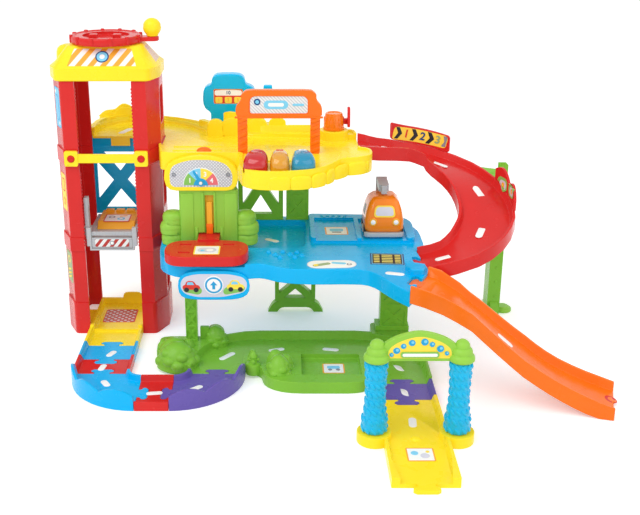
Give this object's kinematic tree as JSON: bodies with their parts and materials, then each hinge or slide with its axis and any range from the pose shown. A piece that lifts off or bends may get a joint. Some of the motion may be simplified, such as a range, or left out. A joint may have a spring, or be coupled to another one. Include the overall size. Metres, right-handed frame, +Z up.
{
  "type": "toy parking garage",
  "caption": "Toy parking garage: tower with a crank-driven lift, stacked decks on pillars, curved and straight ramps, a ground track, a weigh station and a car wash.",
  "frame": {"origin": "on the flat underside of the tower's basin, on the lift shaft's axis at ground level", "axes": "+X from the tower towards the ramps, along the longest extent; +Y from the front to the back; +Z up"},
  "size_m": [0.7752, 0.6436, 0.4644],
  "materials": {
    "red_plastic": "satin moulded plastic",
    "yellow_plastic": "satin moulded plastic",
    "blue_plastic": "satin moulded plastic",
    "green_plastic": "satin moulded plastic",
    "leaf_plastic": "satin moulded plastic",
    "frame_plastic": "fine moulded plastic",
    "orange_plastic": "satin moulded plastic",
    "purple_plastic": "satin moulded plastic",
    "grey_plastic": "fine moulded plastic",
    "white_plastic": "plain moulded plastic",
    "wheel_plastic": "plain moulded plastic",
    "lift_cord": "thin twisted cord",
    "brush_foam": "moulded bristle texture",
    "red_clear": "clear tinted plastic",
    "amber_clear": "clear tinted plastic",
    "blue_clear": "clear tinted plastic"
  },
  "bodies": {
    "structure": {"tower_left_lower": "red_plastic", "tower_left_middle": "red_plastic", "tower_left_upper": "red_plastic", "tower_right_lower": "red_plastic", "tower_right_middle": "red_plastic", "tower_right_upper": "red_plastic", "red_ramp": "red_plastic", "cloud_sign": "red_plastic", "straight_red": "red_plastic", "straight_cross": "red_plastic", "tower_floor": "yellow_plastic", "front_bar": "yellow_plastic", "roof": "yellow_plastic", "yellow_deck": "yellow_plastic", "dial_head": "yellow_plastic", "number_sign": "yellow_plastic", "wash_base": "yellow_plastic", "rear_brace": "blue_plastic", "blue_deck": "blue_plastic", "parking_sign": "blue_plastic", "fuel_pump": "blue_plastic", "straight_blue": "blue_plastic", "curve_blue": "blue_plastic", "green_base": "green_plastic", "wash_arch": "green_plastic", "weigh_station": "leaf_plastic", "a_frame": "frame_plastic", "lattice_pillar": "frame_plastic", "trestle": "frame_plastic", "left_pillar": "frame_plastic", "right_pillar": "frame_plastic", "far_pillar": "frame_plastic", "orange_ramp": "orange_plastic", "gate_arch": "orange_plastic", "curve_purple": "purple_plastic", "connector_purple": "purple_plastic", "battery_cover": "grey_plastic", "sound_unit": "white_plastic"},
    "lift": {"lift_carriage": "grey_plastic", "lift_cord": "lift_cord"},
    "lift_tray": {"lift_tray": "orange_plastic"},
    "lift_flap": {"lift_flap": "grey_plastic"},
    "crank": {"crank_disc": "red_plastic", "winch_drum": "white_plastic"},
    "crank_knob": {"crank_knob": "yellow_plastic"},
    "pulley": {"guide_pulley": "grey_plastic"},
    "scale": {"weigh_tray": "red_plastic", "weigh_rod": "orange_plastic"},
    "pointer": {"dial_pointer": "blue_plastic"},
    "button_red": {"button_red": "red_clear"},
    "button_amber": {"button_amber": "amber_clear"},
    "button_blue": {"button_blue": "blue_clear"},
    "stop": {"stop_knob": "orange_plastic", "stop_paddle": "red_plastic"},
    "brush_left": {"brush_left": "brush_foam"},
    "brush_right": {"brush_right": "brush_foam"},
    "truck": {"truck_body": "orange_plastic", "truck_chassis": "grey_plastic"},
    "front_wheels": {"front_wheels": "wheel_plastic"},
    "rear_wheels": {"rear_wheels": "wheel_plastic"}
  },
  "joints": [
    {"name": "crank_turn", "type": "hinge", "parent": "structure", "child": "crank", "pos_m": [0, 0, 0.4306], "axis": [0, 0, 1], "range_deg": [-430, 415]},
    {"name": "lift_slide", "type": "slide", "parent": "structure", "child": "lift", "axis": [0, 0, 1], "range_m": [-0.127, 0.122], "deforming": ["lift_cord"]},
    {"name": "pulley_turn", "type": "hinge", "parent": "structure", "child": "pulley", "pos_m": [-0.046, -0.0171, 0.4022], "axis": [0, 1, 0], "range_deg": [-1170, 1210]},
    {"name": "knob_turn", "type": "hinge", "parent": "crank", "child": "crank_knob", "pos_m": [0.066, 0, 0.447], "axis": [0, 0, 1], "continuous": true},
    {"name": "tray_tilt", "type": "hinge", "parent": "lift", "child": "lift_tray", "pos_m": [0, 0.048, 0.153], "axis": [-1, 0, 0], "range_deg": [0, 12]},
    {"name": "flap_swing", "type": "hinge", "parent": "lift", "child": "lift_flap", "pos_m": [0, -0.0531, 0.151], "axis": [1, 0, 0], "range_deg": [-80, 0]},
    {"name": "scale_press", "type": "slide", "parent": "structure", "child": "scale", "axis": [0, 0, 1], "range_m": [-0.004, 0], "stiffness_N_per_m": 600, "springref_m": 0.003},
    {"name": "pointer_turn", "type": "hinge", "parent": "structure", "child": "pointer", "pos_m": [0.1368, -0.0957, 0.249], "axis": [0, 1, 0], "range_deg": [0, 100]},
    {"name": "red_press", "type": "slide", "parent": "structure", "child": "button_red", "axis": [0, 0, 1], "range_m": [-0.003, 0], "stiffness_N_per_m": 300, "springref_m": 0.002},
    {"name": "amber_press", "type": "slide", "parent": "structure", "child": "button_amber", "axis": [0, 0, 1], "range_m": [-0.003, 0], "stiffness_N_per_m": 300, "springref_m": 0.002},
    {"name": "blue_press", "type": "slide", "parent": "structure", "child": "button_blue", "axis": [0, 0, 1], "range_m": [-0.003, 0], "stiffness_N_per_m": 300, "springref_m": 0.002},
    {"name": "stop_turn", "type": "hinge", "parent": "structure", "child": "stop", "pos_m": [0.3288, 0.0336, 0.3], "axis": [0, 0, 1], "range_deg": [-90, 0]},
    {"name": "brush_left_turn", "type": "hinge", "parent": "structure", "child": "brush_left", "pos_m": [0.364, -0.3727, 0.06], "axis": [0, 0, 1], "continuous": true},
    {"name": "brush_right_turn", "type": "hinge", "parent": "structure", "child": "brush_right", "pos_m": [0.466, -0.3727, 0.06], "axis": [0, 0, 1], "continuous": true},
    {"name": "truck_lift_off", "type": "slide", "parent": "structure", "child": "truck", "axis": [0, 0, 1], "range_m": [0, 0.012]},
    {"name": "front_axle_turn", "type": "hinge", "parent": "truck", "child": "front_wheels", "pos_m": [0.3992, -0.0608, 0.1673], "axis": [1, 0, 0], "continuous": true},
    {"name": "rear_axle_turn", "type": "hinge", "parent": "truck", "child": "rear_wheels", "pos_m": [0.3992, -0.024, 0.1673], "axis": [1, 0, 0], "continuous": true}
  ],
  "couplings": [
    {"joint": "lift_slide", "follows": "crank_turn", "m_per_rad": 0.0168},
    {"joint": "pulley_turn", "follows": "crank_turn", "ratio": -2.8},
    {"joint": "pointer_turn", "follows": "scale_press", "rad_per_m": -435}
  ]
}
